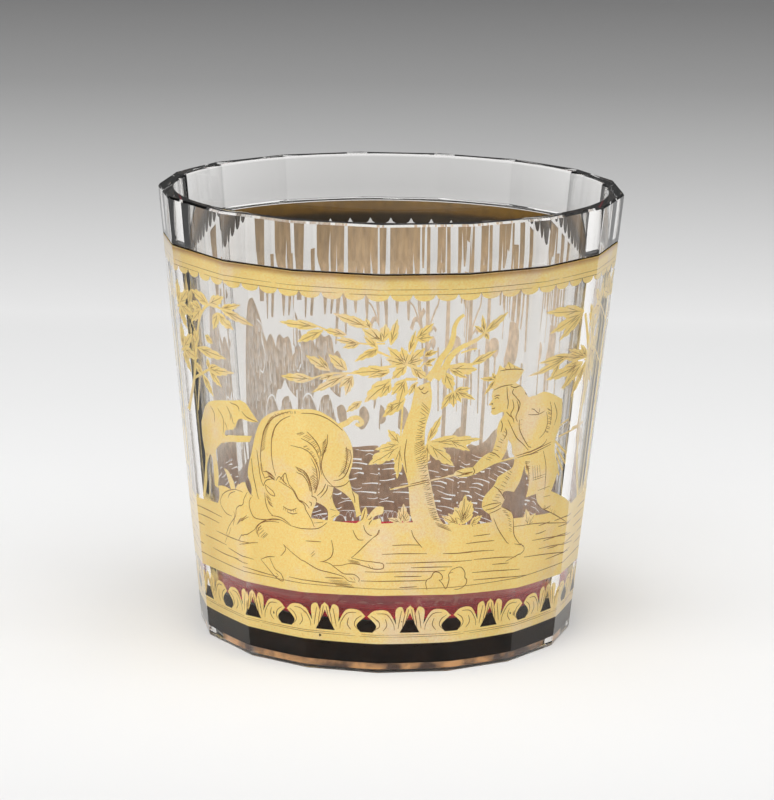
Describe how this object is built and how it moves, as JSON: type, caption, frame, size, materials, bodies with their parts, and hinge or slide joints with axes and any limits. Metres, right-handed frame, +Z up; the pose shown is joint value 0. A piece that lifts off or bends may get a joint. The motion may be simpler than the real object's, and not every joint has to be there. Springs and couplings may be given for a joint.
{
  "type": "faceted glass beaker",
  "caption": "Double-walled faceted glass beaker, tapered to a flat foot, with gold leaf ornament sealed between its walls.",
  "frame": {"origin": "centre of the plane that the foot stands on, on the beaker's axis", "axes": "+Z up along the beaker's axis, -Y towards the front with the boar and the huntsman, +X to the right of that view"},
  "size_m": [0.0825, 0.0822, 0.08],
  "materials": {
    "clear_glass": "clear polished glass with a faint warm grey cast, ground flat facets outside",
    "gold_leaf": "satin beaten gold leaf, finely speckled, with engraved dark lines",
    "ruby_lacquer": "translucent ruby lacquer backed with silver",
    "dark_resin": "near-black brown resin",
    "amber_resin": "amber brown resin, slightly uneven"
  },
  "bodies": {
    "root": {"outer_sleeve": "clear_glass", "inner_beaker": "clear_glass", "base_disc": "clear_glass", "lip_seam_resin": "dark_resin", "foot_resin_ring": "dark_resin", "foot_seam_resin": "amber_resin", "ruby_lacquer": "ruby_lacquer", "gold_medallion": "gold_leaf", "gold_upper_border": "gold_leaf", "gold_lower_border": "gold_leaf", "gold_frieze_front": "gold_leaf", "gold_frieze_right": "gold_leaf", "gold_frieze_back": "gold_leaf"}
  },
  "joints": []
}
